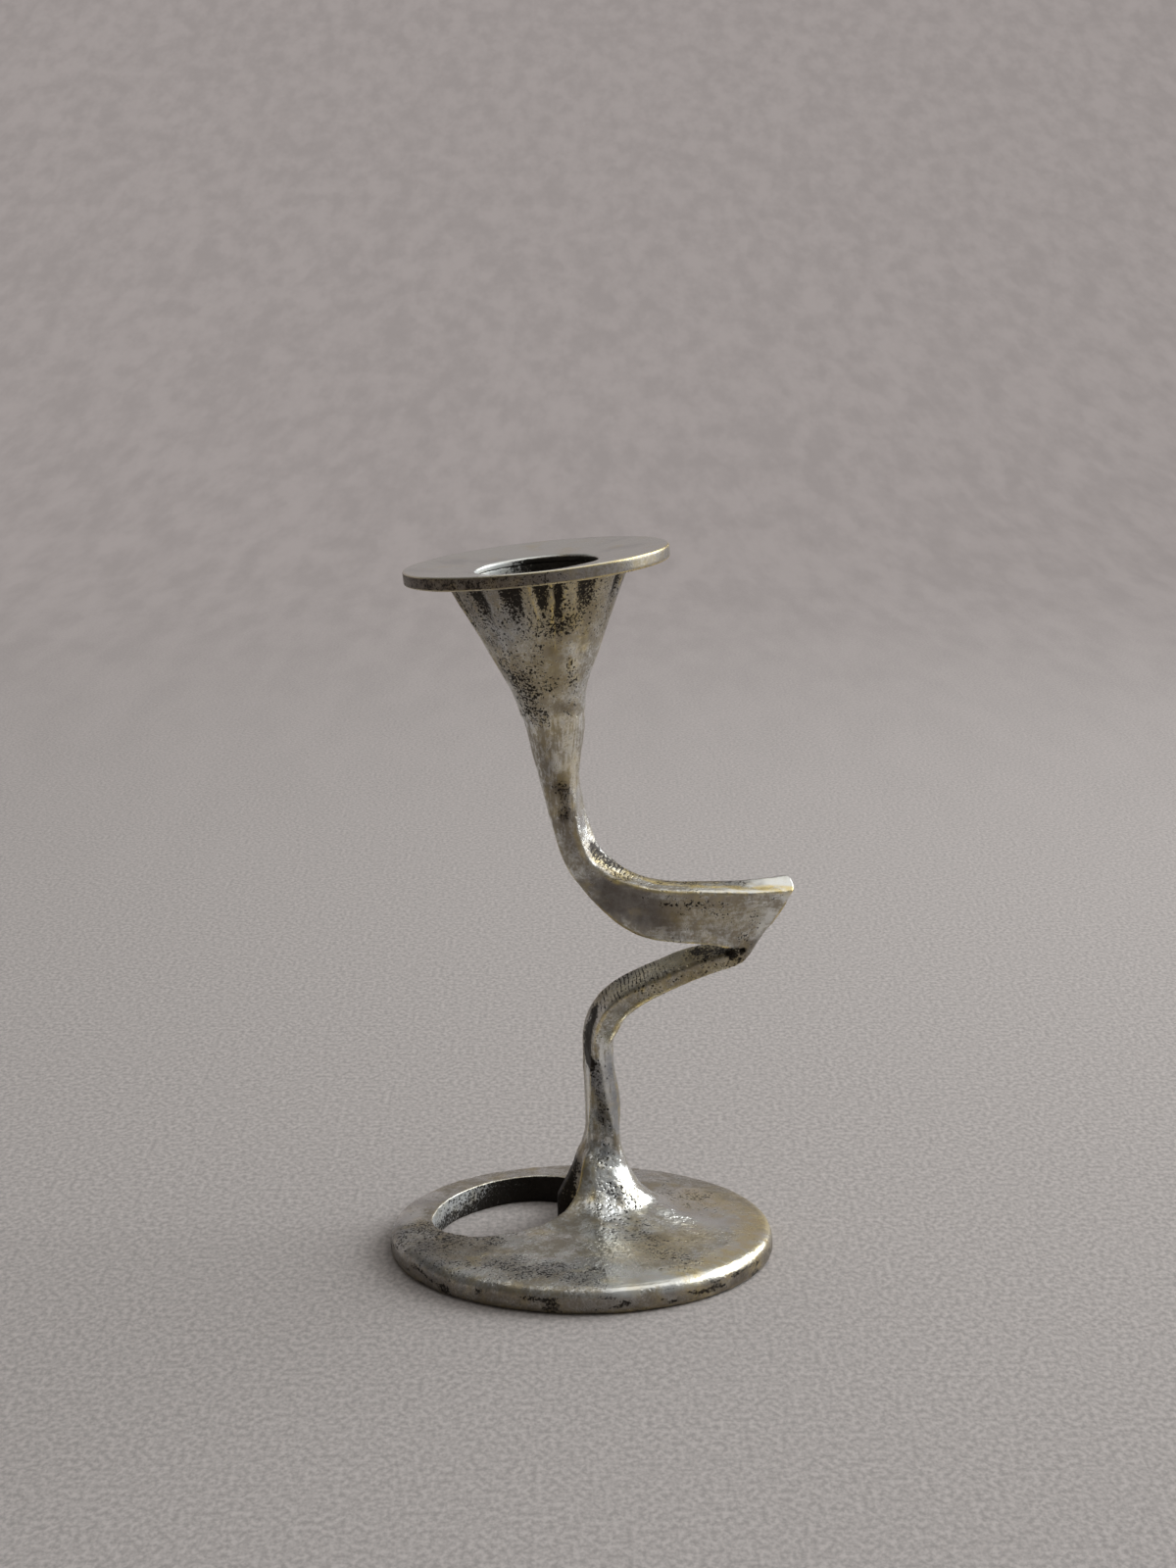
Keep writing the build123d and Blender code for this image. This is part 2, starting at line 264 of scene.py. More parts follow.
ribbon = {
    # below the fold, along the front of the tip, and across the tip
    "flats": [
        {"at": (31.9, 2.5, 57.0), "facing": (0.62, -0.15, -0.77), "middle": (32, 2.5, 58), "radius": 7},
        {"at": (40.4, -0.4, 70.6), "facing": (0.72, -0.5, -0.48), "middle": (37, 2, 66), "radius": 16},
        {"at": (39.5, 2.6, 72), "facing": (0.72, 0.69, 0.0), "middle": (41, 5, 72.5), "radius": 7.5},
    ],
    # upper strip, fold, and tip
    "worn": [
        {
            "line": [(2, 0, 78), (9, 1, 74.5), (20, 1, 72.3), (32, 2, 72), (41, 3, 72.5)],
            "width": 6.0, "rounds": 16,
        },
        {"line": [(31, 1.5, 59.3), (35, 1.5, 60.5)], "width": 4.5, "rounds": 110},
        {"line": [(40.6, 0, 71.4), (40, 3.5, 72.5), (37, 5, 72.5)], "width": 3.6, "rounds": 50},
    ],
    # the back of the tip turns up, over these ways to the right, upwards and to the back
    "turnUp": {"right": (26.0, 41.0), "up": (66, 71), "back": (-1, 4), "lift": 1.3},
    "hole": {"at": (30.7, 0.3, 59.4), "size": 0.8, "rim": 0.3, "depth": 0.8},    # in the crotch of the fold
    # in the bend
    "fileMarks": {"line": [(2, -1, 79), (10, 0, 74)], "width": 4, "ragged": 0.3, "amount": 0.75},
    # painted shadow: the dark and brown strokes from about (32, 0, 60) to (35, 0, 61) darken the crotch of
    # the fold
    "soot": [
        ([(17, -3, 70), (26, -2.8, 69)], 3.4, 0.42), ([(33, -1.5, 66), (31, -1, 62)], 3, 0.3),
        ([(9, 0, 74.5), (3, -1.5, 77)], 3.0, 0.45), ([(7, 0, 75.4), (11, 0.3, 74)], 2.8, 0.5),
        ([(3, -1, 79.5), (4.5, -0.4, 77), (7, 0, 75.4)], 3.2, 0.68), ([(32, 0, 60), (35, 0, 61)], 2.4, 0.3),
        ([(15, 0, 73.2), (20, 0.2, 72.6), (31, 0.6, 72.4)], 2.6, 0.42),
        ([(2.2, -2.3, 78.3), (4.2, -2.3, 76.4), (8.6, -2.2, 74)], 2.4, 0.46),
    ],
    "brown": [
        ([(9, 0.5, 75), (14, 0.4, 73.5), (20, 0.3, 72.6), (32, 0.8, 72.4)], 3.2, 0.7),
        ([(40.6, 0.5, 71.8), (38.5, 3.6, 72.9)], 1.3, 0.6), ([(20, -3, 66), (28, -2.5, 64)], 4, 0.4),
        ([(31.5, 0, 60), (35, 0, 61)], 3.0, 0.75), ([(5, -3, 71.5), (16, -3.4, 66)], 6.5, 0.85),
        ([(1.9, -2.5, 78.6), (4.2, -2.5, 76.3), (8.6, -2.4, 74)], 2.8, 0.95),
        ([(10, 0.5, 74.3), (24, 0.5, 72.2)], 2.6, 0.45), ([(20, -3, 69.5), (27, -2.6, 69)], 3.0, 0.4),
        ([(31, -2, 68.5), (27, -2.4, 65)], 4, 0.4),
    ],
    # painted highlight on the right end of the strip, partly a rubbed finish: the first bright stroke
    "bright": [([(33, 1.5, 72.4), (41, 1.5, 72.6)], 4.5, 1.0), ([(36, -0.6, 67), (33, -0.4, 62)], 1.6, 0.5)],
    "brass": [
        ([(9, -0.3, 75), (14, -0.5, 73), (24, -2, 72), (41, -0.5, 71.8)], 1.5, 0.9),
        ([(20, -2.6, 68), (32, -1.5, 66)], 6, 0.2), ([(8, 1, 75.2), (14, 1, 73.5), (25, 1, 72.4)], 2.8, 0.45),
        ([(3, -1.9, 77.5), (8.6, -1.9, 74.2)], 2.2, 0.4),
    ],
    # painted reflection: the cool stroke tints the left of the ribbon blue-grey, as a reflection of the sky
    # would
    "cool": [([(4, -3.2, 72), (12, -3.4, 67)], 5, 0.8)],
    "pitted": [([(18, -3, 69.5), (27, -2.6, 68.5)], 4, 0.8), ([(32, -1.5, 64), (30, -1, 61)], 3.5, 0.6)],
    "plain": [([(31, 0.5, 58.5), (34, 0.5, 60), (36, 0, 63)], 3.5, 1.0)],
}
neck = {
    "ridges": [{"line": [(-1.2, -3.6, 86), (-2, -3.6, 91), (-2.8, -3.8, 98)], "width": 1.5, "rise": 0.35}],
    "soot": [([(-4, -3.8, 93), (-3.0, -3.4, 87)], 2.6, 0.42)],
    "brown": [
        ([(-6.5, -4, 100), (-5.5, -3.5, 88)], 2.5, 0.6), ([(-3, -3.2, 84), (3, -2.8, 74)], 3.0, 0.5),
        ([(-4.2, -3.8, 94), (-3.2, -3.4, 86)], 2.2, 1.0),
        ([(3, -1, 80), (4.5, -0.5, 78), (9, 0.5, 75.5)], 3.0, 0.95),
    ],
    "bright": [([(0, -2, 91), (0.5, -1.5, 84)], 2.0, 1.0), ([(-2.5, -5, 104), (-2.5, -4, 96)], 4, 0.35)],
    "brass": [([(-4, -5, 105), (-2, -4, 95)], 4.5, 0.35)],
    # painted reflection: the cool strokes tint the neck's right side blue-grey, as a reflection of the sky
    # and window would
    "cool": [([(0, -2.4, 90), (1, -2, 82)], 2.2, 0.35), ([(-3.6, -3.6, 89)], 2.2, 0.7)],
}
# Cup: radius and height from its foot, then flutes as angle from the front, width, and where they end below
cup = {
    "outside": [
        (6.1, 0.0), (6.55, 2.7), (7.2, 5.15), (8.4, 7.9),
        (9.85, 10.9), (12.1, 15.8), (14.6, 21.1), (17.5, 27.1),
    ],
    "inside": [(11.5, 27.1), (11.5, 18.1), (10.7, 18.1), (4.0, 8.1), (0.6, 8.0)],
    "segments": 140,
    "flutes": [
        (-70, 12, 16), (-43, 17, 18.5), (-17.6, 19, 16.5), (3.3, 11, 18.5), (14, 8, 16.5), (34.7, 20, 17.5),
        (67, 14, 20), (92, 12, 17), (113, 17, 18), (138, 13, 19), (159, 18, 17), (184, 11, 18),
        (206, 16, 17), (229, 13, 19), (253, 15, 17), (272, 10, 18),
    ],
    "fluteDepth": 0.8,
    "fluteWidths": (0.72, 0.28),    # share of the width in the middle, and what it gains by the top
    "fluteWander": 2,
    "fluteSide": (0.35, 1.35),      # shares of the half width
    "fluteEnd": (-1.0, 0.8),
    "skinFrom": 0.5, "skin": 0.9,
    "soot": [
        ([(-6, -5.7, 106.8), (-2.5, -5.2, 106.4)], 1.4, 0.5), ([(-15, -5, 121), (-9, -6, 108)], 6.5, 0.52),
        ([(-8, -12, 119), (-6, -8, 109)], 4.5, 0.36), ([(-1, -12, 121), (-1, -6, 109)], 3.5, 0.4),
        ([(4, -9, 119), (1.5, -4, 109)], 2.5, 0.46),
        ([(-14, -8, 123), (-6, -13, 123), (3, -13, 123)], 5, 0.48),
    ],
    "brown": [
        ([(-14, -8, 124), (-6, -14, 125), (4, -13, 125)], 5.0, 0.5),
        ([(-5, -10, 113), (-6, -12, 122)], 5.0, 0.45), ([(-5.3, -10.7, 118.4)], 2.4, 0.9),
        ([(-2, -9.6, 116.7)], 2.0, 0.85), ([(-4, -6.5, 107.6), (-1.5, -5.8, 107)], 2.2, 0.8),
    ],
    "bright": [([(-1, -8.5, 116), (-1, -9.5, 118)], 4, 0.4)],
    "brass": [
        ([(0, -9, 116), (1, -13.5, 125)], 3.6, 0.9), ([(0.5, -6, 110), (0, -8, 114)], 2.4, 0.7),
        ([(-6, -7, 110), (-6, -12, 123)], 9, 0.28),
    ],
    "pitted": [([(-12, -8, 120), (-8, -8, 110)], 7, 0.7), ([(0, -10, 119), (0, -6, 109)], 4, 0.6)],
}
castings = [foot, leg, arm, ribbon, neck, cup]
finishes = ["soot", "brown", "bright", "brass", "cool", "pitted", "plain"]


def listed(kind):    # the flats, worn edges, ridges or strokes of all castings
    return [item for casting in castings for item in casting.get(kind, [])]


def turned(profile, segments):
    form = bmesh.new()
    rings = []
    for radius, height in profile:
        ring = []
        for i in range(segments):
            angle = 2 * math.pi * i / segments
            out = cupRight * math.cos(angle) + cupFront * math.sin(angle)
            ring.append(form.verts.new(cupFoot + out * (radius * mm) + cupAxis * (height * mm)))
        rings.append(ring)
    for a, b in zip(rings, rings[1:]):
        for i in range(segments):
            j = (i + 1) % segments
            form.faces.new((a[i], a[j], b[j], b[i]))
    return form, rings


# One skin over the foot, the stem and the cup
body = {
    "nodes": ["foot", "leg", "arm", "ribbon", "neck"], "weld": 1e-7, "voxel": 0.26 * mm, "softenRounds": 5,
}
blank, cupRings = turned(cup["outside"] + cup["inside"], cup["segments"])
blank.faces.new(cupRings[0])
blank.faces.new(cupRings[-1][::-1])
bmesh.ops.recalc_face_normals(blank, faces=blank.faces[:])
for node in body["nodes"]:
    blank.from_mesh(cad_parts[node].data)
bmesh.ops.remove_doubles(blank, verts=blank.verts[:], dist=body["weld"])
blankObj = addObject("castBlank", asMesh(blank, "castBlank"))
skin = blankObj.modifiers.new("skin", "REMESH")
skin.mode = "VOXEL"
skin.voxel_size = body["voxel"]
skin.use_smooth_shade = True
castMesh = appliedMesh(blankObj)
bpy.data.objects.remove(blankObj)
links = meshLinks(castMesh)
points = relaxed(meshPoints(castMesh), links, body["softenRounds"])
print("cast skin", len(points), "points")

# How the work fades out: flats, wear and ridges in shares of their radius, width or length
fades = {
    "flat": (0.55, 1.0), "worn": (0.5, 1.0), "ridgeSide": 1.6,
    "ridgeStart": (0, 0.25), "ridgeEnd": (0.75, 1.0), "ridgeLoss": 0.6,
}

# Filed flats: what stands past the plane is filed down to it, within the radius of the place
for flat in listed("flats"):
    facing = np.array(flat["facing"]) / np.linalg.norm(flat["facing"])
    past = (points - np.array(flat["at"])) @ facing
    near = np.linalg.norm(points - np.array(flat["middle"]), axis=1) / flat["radius"]
    points -= np.outer(np.maximum(past, 0) * (1 - smoothStep(*fades["flat"], near)), facing)

# Edges worn rounder
for spot in listed("worn"):
    near = 1 - smoothStep(*fades["worn"], lineGap(points, spot["line"])[0] / spot["width"])
    points += (relaxed(points, links, spot["rounds"]) - points) * near[:, None]

# Ridges and hollows, as lines with a width and a rise that comes and goes along them
normals = meshNormals(castMesh, points)
lift = np.zeros(len(points))
for ridge in listed("ridges"):
    gap, share = lineGap(points, ridge["line"])
    fade = smoothStep(*fades["ridgeStart"], share) * (1 - fades["ridgeLoss"] * share)
    fade *= 1 - smoothStep(*fades["ridgeEnd"], share)
    lift += ridge["rise"] * np.exp(-fades["ridgeSide"] * (gap / ridge["width"]) ** 2) * fade
points += normals * lift[:, None]

# The web between the opening's wall and the leg
web = foot["web"]
flare = np.clip((web["top"] - points[:, 2]) / (web["top"] - web["foot"]), 0, 1) ** web["bend"]
flare *= smoothStep(*web["front"], points[:, 1]) * (1 - smoothStep(*web["back"], points[:, 1]))
flare *= smoothStep(*web["left"], points[:, 0]) * (1 - smoothStep(*web["right"], points[:, 0]))
points[:, 0] -= web["push"] * flare

# The turned-up back of the tip, and the hole in the fold
turnUp, hole = ribbon["turnUp"], ribbon["hole"]
rise = smoothStep(*turnUp["right"], points[:, 0]) * smoothStep(*turnUp["up"], points[:, 2])
points[:, 2] += turnUp["lift"] * rise * smoothStep(*turnUp["back"], points[:, 1])
fromHole = lineGap(points, [hole["at"]])[0] / hole["size"]
points[:, 1] += hole["depth"] * (1 - smoothStep(hole["rim"], 1, fromHole))
print("filed and worn")

# The unevenness that casting and hand filing leave, and how ragged the finishes are
uneven = {
    "lump": 0.15, "lumpSize": 9, "dent": 0.06, "dentSize": 3.2, "fluteRipple": 0.14,
    "ripple": 0.022, "pittedRipple": 0.12, "rippleSize": 1.2, "pitting": 0.07, "pittingSize": 0.75,
    "wanderSize": 4, "jitterSize": 1.1, "raggedWander": 0.9, "raggedJitter": 0.45, "border": 0.5,
    "litRagged": 0.3,
}

# Irregular flutes under the pan
offset = points - np.array(cupFoot) / mm
height = offset @ np.array(cupAxis)
across, front = offset @ np.array(cupRight), offset @ np.array(cupFront)
turn = np.degrees(np.arctan2(across, front))
radius = np.hypot(across, front)
outsideRadius = np.interp(height, [p[1] for p in cup["outside"]], [p[0] for p in cup["outside"]])
onCup = (height > cup["skinFrom"]) & (radius > outsideRadius - cup["skin"])
wander = noiseAt(points, uneven["wanderSize"], 3)
jitter = noiseAt(points, uneven["jitterSize"], 5)
top = cup["outside"][-1][1]
flutes = np.zeros(len(points))
middleShare, gain = cup["fluteWidths"]
for angle, width, bottom in cup["flutes"]:
    up = np.clip((height - bottom) / (top - bottom), -1, 1)
    half = width / 2 * (middleShare + gain * up) + wander * cup["fluteWander"] + jitter
    apart = np.abs((turn - angle + 180) % 360 - 180)
    floorEdge, wallEdge = (half * share for share in cup["fluteSide"])
    flute = (1 - smoothStep(floorEdge, wallEdge, apart)) * smoothStep(*cup["fluteEnd"], up)
    flutes = np.maximum(flutes, flute)
flutes *= onCup
outward = np.outer(across, np.array(cupRight)) + np.outer(front, np.array(cupFront))
outward /= np.maximum(np.linalg.norm(outward, axis=1), 1e-9)[:, None]
points -= outward * (flutes * cup["fluteDepth"])[:, None]

# Strokes of each finish
ragged = wander * uneven["raggedWander"] + jitter * uneven["raggedJitter"]
masks = {finish: np.zeros(len(points)) for finish in finishes}
for finish in finishes:
    for line, width, amount in listed(finish):
        spread = blot(points, line, width, ragged * uneven["border"])
        masks[finish] = np.maximum(masks[finish], spread * amount)
print("strokes done")

# Lumps all over, ripples and pits where the casting stayed rough
normals = meshNormals(castMesh, points)
lumps = noiseAt(points, uneven["lumpSize"], 1) * uneven["lump"]
lumps += noiseAt(points, uneven["dentSize"], 2) * uneven["dent"]
ripples = noiseAt(points, uneven["rippleSize"], 4)
ripples *= uneven["ripple"] + uneven["pittedRipple"] * masks["pitted"]
ripples += noiseAt(points, uneven["pittingSize"], 6) * uneven["pitting"] * masks["pitted"]
points += normals * (lumps + ripples + jitter * flutes * uneven["fluteRipple"])[:, None]
points[:, 2] = np.maximum(points[:, 2], 0)

# Where a finish comes and goes on each place: heights, reaches, slopes and turns
zones = {
    "edge": (0.03, 0.13), "edgeRounds": 14, "hollow": (0.06, 0.6), "hollowRounds": 110,
    "strip": (62, 68), "stripSlope": (0.25, 0.75), "stripBright": (14, 34),
    "arm": (42, 47, 59, 60), "armSlope": (0.25, 0.6), "armHatch": (12, 20),
    "rim": (35, 36.4), "rimTop": (2.6, 4.6), "streak": (0.0, 0.4), "streakTurn": 0.14, "streakHeight": 0.8,
    "openingTop": 6, "openingReach": 33.5, "wallSlope": 0.6, "footTop": 8, "underside": 0.4,
    "leftEnd": (-11, -27), "leftEndTop": (0.5, 4.5), "leftEndRagged": 5,
    "socketFloor": 5, "socketRadius": 12.2, "socketWall": 1.2, "socketTop": 25.5, "socketRim": 13.5,
    "litSlope": (0.0, 0.45), "web": (0.1, 0.5), "webSlope": (0.6, 0.85),
    "fluteTop": (16, 25), "upperCup": (12, 21), "gold": (-25, 5, 25, 80), "shade": (-15, -55),
    "leg": (14, 20, 38, 44), "neck": (80, 84, 105, 107), "ribbon": (60, 62, 74, 80),
    "ribbonWay": (0.75, -0.66), "armWay": (0.93, 0.37), "armEnd": 60,    # way along the bar, for file marks
}


def span(zone, values, limits=zones):    # comes over two values, and goes over two more if there are any
    start, full, *end = limits[zone]
    shown = smoothStep(start, full, values)
    return shown * (1 - smoothStep(*end, values)) if end else shown


# Rubbed edges and hollows come from how far a point stands off its smoothed surroundings
normals = meshNormals(castMesh, points)
standOff = ((points - relaxed(points, links, zones["edgeRounds"])) * normals).sum(1)
broadOff = ((points - relaxed(points, links, zones["hollowRounds"])) * normals).sum(1)
x, y, z = points.T
reach = np.hypot(x, y)
facingRight, facingUp = normals[:, 0], normals[:, 2]
onStrip = span("stripSlope", facingUp) * span("strip", z) * (height < 0)
onArm = span("arm", z)
onTop = onArm * span("armSlope", facingUp)
onRim = span("rim", reach) * (1 - span("rimTop", z))
insideRim = reach < zones["openingReach"]
inOpening = (np.abs(facingUp) < zones["wallSlope"]) & (z < zones["openingTop"]) & insideRim
inSocket = (height > zones["socketFloor"]) & (radius < zones["socketRadius"])
inSocket &= radius < outsideRadius - zones["socketWall"]
# painted highlight and shade: walls that face the right are painted lit, in the socket and at the left end of
# the opening; the rest of them are painted dark
leftEnd = span("leftEnd", x + ragged * zones["leftEndRagged"]) * (0.4 + 0.6 * span("leftEndTop", z))
lit = np.where(inSocket, span("litSlope", facingRight + wander * uneven["litRagged"]), leftEnd)
onWeb = span("web", flare) * (1 - span("webSlope", facingUp))
upperCup = onCup * span("upperCup", height)
cupGold = upperCup * span("gold", turn)
cupShade = upperCup * span("shade", turn)
fluteTop = span("fluteTop", height)
# streaks that run round the rim
around = np.degrees(np.arctan2(y, x)) * zones["streakTurn"]
rimStreak = noiseAt(np.stack([around, z * zones["streakHeight"], 0 * z], 1), 1, 9)
rimStreak = span("streak", rimStreak)
# what each place gets of each finish. Painted shade darkens the socket, the opening (blue-grey as well), the
# web and the arm under the ribbon; painted highlight lights the walls that face the right and the right end
# of the strip; the very bottom is browner
formed = {
    "soot": [
        flutes * (0.42 + 0.4 * fluteTop), inSocket * (0.95 - 0.85 * lit), inOpening * (1.0 - 0.8 * lit),
        upperCup * 0.3, cupShade * 0.42, onArm * 0.2, onRim * rimStreak * 0.62, onWeb * 0.85,
    ],
    "brown": [
        onRim * 0.75, onArm * 0.25, (z < zones["underside"]) * 0.5, inOpening * 0.5 * (1 - lit),
        upperCup * 0.4, onWeb * 0.7,
    ],
    "bright": [onStrip * span("stripBright", x) * 0.95, (inOpening | inSocket) * lit * 0.9],
    "brass": [cupGold * 0.4],
    "cool": [inOpening * (0.9 - 0.4 * lit)],
    "pitted": [inOpening * 0.9],
    "plain": [
        0.8 * (z < zones["footTop"]) * insideRim,
        (height > zones["socketTop"]) * (radius < zones["socketRim"]),
    ],
}
# painted highlight on the walls that face the right
masks["matte"] = (inOpening | inSocket) * lit
for finish, fields in formed.items():
    masks[finish] = np.maximum.reduce([masks[finish], *fields])
marks = ribbon["fileMarks"]
nearBend = blot(points, marks["line"], marks["width"], ragged * marks["ragged"])
masks["hatch"] = np.maximum(onTop * (1 - span("armHatch", x)), nearBend * marks["amount"])
masks["upright"] = np.maximum(span("neck", z), span("leg", z))
masks["level"] = (0.4 + 0.5 * onStrip) * span("ribbon", z)
masks["edge"] = span("edge", standOff) * (1 - masks["plain"])
masks["hollow"] = span("hollow", -broadOff)
alongRibbon, alongArm = (right * x + up * z for right, up in (zones["ribbonWay"], zones["armWay"]))
masks["along"] = np.where(z > zones["armEnd"], alongRibbon, alongArm)
for finish, values in masks.items():
    paint(castMesh, finish, values)
print("masks done")


# Cut the skin at the joints, so that each casting is its own closed piece
def cutPiece(name, node, planes):
    form = bmesh.new()
    form.from_mesh(castMesh)
    for place, normal in planes:
        geom = form.verts[:] + form.edges[:] + form.faces[:]
        cut = bmesh.ops.bisect_plane(form, geom=geom, plane_co=place, plane_no=normal, clear_outer=True)
        rim = [e for e in cut["geom_cut"] if isinstance(e, bmesh.types.BMEdge)]
        for edge in rim:
            edge.smooth = False
        bmesh.ops.holes_fill(form, edges=rim, sides=0)
    obj = addObject(name, asMesh(form, name))
    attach(obj, "root")
    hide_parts(node)
    print(name, len(obj.data.polygons), "faces")
    return obj


def above(plane):
    return plane[0], -plane[1]


footCasting = cutPiece("footCasting", "foot", [footPlane])
legBar = cutPiece("legBar", "leg", [above(footPlane), legPlane])
armBar = cutPiece("armBar", "arm", [above(legPlane), foldPlane])
ribbonBand = cutPiece("ribbonBand", "ribbon", [above(foldPlane), ribbonPlane, cupPlane])
neckStem = cutPiece("neckStem", "neck", [above(ribbonPlane), cupPlane])
flutedCup = cutPiece("flutedCup", "candle_cup", [above(cupPlane)])

# Drip pan: a dished disc turned about the cup's axis
pan = {
    "base": 27.1, "radius": 25.0, "hole": 11.5, "rim": 2.6, "dish": 1.4,
    "edge": 0.45, "lip": 0.7, "lipRise": 0.03, "inset": 0.1,
    "segments": 280, "lowerSteps": 30, "upperSteps": 42, "edgeSteps": 5, "lipSteps": 6, "insetSteps": 4,
    "lump": 0.10, "lumpSize": 12, "dent": 0.02, "dentSize": 3,
    # where its finishes come and go
    "edgeBand": 2, "holeBand": 1, "facingRight": (-0.3, 0.8), "steep": (0.35, 0.6),
    "arc": (0.15, 0.4, 0.93, 0.985), "under": (0.4, 0.8), "top": (0.5, 0.9),
}


def arcPoints(center, size, start, end, steps):
    angles = [math.radians(start + (end - start) * i / steps) for i in range(steps + 1)]
    return [(center[0] + size * math.cos(a), center[1] + size * math.sin(a)) for a in angles]


def between(a, b, steps):
    return [(a[0] + (b[0] - a[0]) * i / steps, a[1] + (b[1] - a[1]) * i / steps) for i in range(1, steps)]


out, edge, lip, inset = (pan[key] for key in ("radius", "edge", "lip", "inset"))
low = pan["base"]
high = low + pan["rim"]
dishTop = high - pan["dish"]
lipOut = pan["hole"] + lip
panProfile = arcPoints((pan["hole"] + inset, low + inset), inset, 180, 270, pan["insetSteps"])
panProfile += between(panProfile[-1], (out - edge, low), pan["lowerSteps"])
panProfile += arcPoints((out - edge, low + edge), edge, -90, 0, pan["edgeSteps"])
panProfile += between((out, low + edge), (out, high - edge), pan["edgeSteps"])
panProfile += arcPoints((out - edge, high - edge), edge, 0, 90, pan["edgeSteps"])
panProfile += between((out - edge, high), (lipOut, dishTop + pan["lipRise"]), pan["upperSteps"])
panProfile += arcPoints((lipOut, dishTop - lip), lip, 90, 180, pan["lipSteps"])
panForm, panRings = turned(panProfile, pan["segments"])
for i in range(pan["segments"]):
    j = (i + 1) % pan["segments"]
    panForm.faces.new((panRings[-1][i], panRings[-1][j], panRings[0][j], panRings[0][i]))
bmesh.ops.recalc_face_normals(panForm, faces=panForm.faces[:])
panMesh = asMesh(panForm, "dripPan")
panMesh.polygons.foreach_set("use_smooth", [True] * len(panMesh.polygons))
dripPan = addObject("dripPan", panMesh)
panPoints = meshPoints(panMesh)
panNormals = meshNormals(panMesh, panPoints)
panLumps = noiseAt(panPoints, pan["lumpSize"], 7) * pan["lump"]
panLumps += noiseAt(panPoints, pan["dentSize"], 8) * pan["dent"]
panPoints += panNormals * panLumps[:, None]
panNormals = meshNormals(panMesh, panPoints)
panUp = panNormals @ np.array(cupAxis)
panOffset = panPoints - np.array(cupFoot) / mm
panRadius = np.hypot(panOffset @ np.array(cupRight), panOffset @ np.array(cupFront))
panWander = noiseAt(panPoints, uneven["wanderSize"], 3)
panLit = span("litSlope", panNormals[:, 0] + panWander * uneven["litRagged"])
panRight = span("facingRight", panNormals[:, 0], pan)
panSteep = 1 - span("steep", np.abs(panUp), pan)
panOuter = panRadius > out - pan["edgeBand"]
panArc = span("arc", np.abs(panUp), pan) * panOuter
panBand = panSteep * panOuter
panInner = panSteep * (panRadius < pan["hole"] + pan["holeBand"])
panUnder = span("under", -panUp, pan)
# painted light and shade: edges and brass grow on the side that faces right, the band is browner and darker
# on the side that faces away, the inside of the hole is lit where it faces right and shaded elsewhere, and
# the underside is shaded
panMasks = {
    "edge": panArc * (0.35 + 0.65 * panRight),
    "brass": panArc * (0.35 + 0.6 * panRight),
    "brown": panBand * (0.98 - 0.6 * panRight),
    "soot": np.maximum.reduce([panUnder * 0.3, panInner * (1 - panLit), panBand * (1 - panRight) * 0.4]),
    "bright": np.maximum(span("top", panUp, pan) * 0.9, panInner * panLit),
    "matte": panInner * panLit,
}
for finish, values in panMasks.items():
    paint(panMesh, finish, values)
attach(dripPan, "root")
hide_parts("drip_pan")
print("pan", len(panMesh.polygons), "faces")


# Node helpers
def addNode(tree, kind, at, **settings):
    node = tree.nodes.new(kind)
    node.location = at
    for key, value in settings.items():
        setattr(node, key, value)
    return node


def feed(tree, source, socket):
    if isinstance(source, bpy.types.NodeSocket):
        tree.links.new(source, socket)
    else:
        socket.default_value = source


# kinds of sockets by how many numbers they hold
socketKinds = {1: "NodeSocketFloat", 3: "NodeSocketVector", 4: "NodeSocketColor"}


def newGroup(name, inputs, outputs):    # inputs with their values, outputs with how many numbers they hold
    tree = bpy.data.node_groups.new(name, "ShaderNodeTree")
    for label, value in inputs.items():
        kind = socketKinds[len(value) if isinstance(value, tuple) else 1]
        tree.interface.new_socket(label, in_out="INPUT", socket_type=kind).default_value = value
    for label, count in outputs.items():
        tree.interface.new_socket(label, in_out="OUTPUT", socket_type=socketKinds[count])
    given = addNode(tree, "NodeGroupInput", (-1400, 0)).outputs
    coords = addNode(tree, "ShaderNodeTexCoord", (-1400, 400)).outputs["Object"]
    return tree, given, addNode(tree, "NodeGroupOutput", (1200, 0)).inputs, coords


def noiseNode(tree, coords, at, scale, detail, rough=0.55):
    node = addNode(tree, "ShaderNodeTexNoise", at)
    node.inputs["Scale"].default_value = scale
    node.inputs["Detail"].default_value = detail
    node.inputs["Roughness"].default_value = rough
    feed(tree, coords, node.inputs["Vector"])
    return node.outputs["Fac"]


def rangeNode(tree, value, at, low, high, to=(0.0, 1.0)):
    node = addNode(tree, "ShaderNodeMapRange", at, interpolation_type="SMOOTHSTEP")
    for label, number in zip(("From Min", "From Max", "To Min", "To Max"), (low, high, *to)):
        node.inputs[label].default_value = number
    feed(tree, value, node.inputs["Value"])
    return node.outputs["Result"]


def mathNode(tree, operation, a, b, at, clamp=False):
    node = addNode(tree, "ShaderNodeMath", at, operation=operation, use_clamp=clamp)
    feed(tree, a, node.inputs[0])
    feed(tree, b, node.inputs[1])
    return node.outputs[0]


def times(tree, a, b, at):
    return mathNode(tree, "MULTIPLY", a, b, at)


def mixColour(tree, fac, a, b, at, blend="MIX"):
    node = addNode(tree, "ShaderNodeMix", at, data_type="RGBA", blend_type=blend)
    for source, socket in zip((fac, a, b), (node.inputs[0], node.inputs[6], node.inputs[7])):
        feed(tree, source, socket)
    return node.outputs[2]


def weighed(tree, parts, at):    # sum of values, each times its weight
    total = None
    for i, (value, weight) in enumerate(parts):
        share = times(tree, value, weight, (at[0] - 200, at[1] - 150 * i))
        total = share if total is None else mathNode(tree, "ADD", total, share, (at[0], at[1] - 150 * i))
    return total
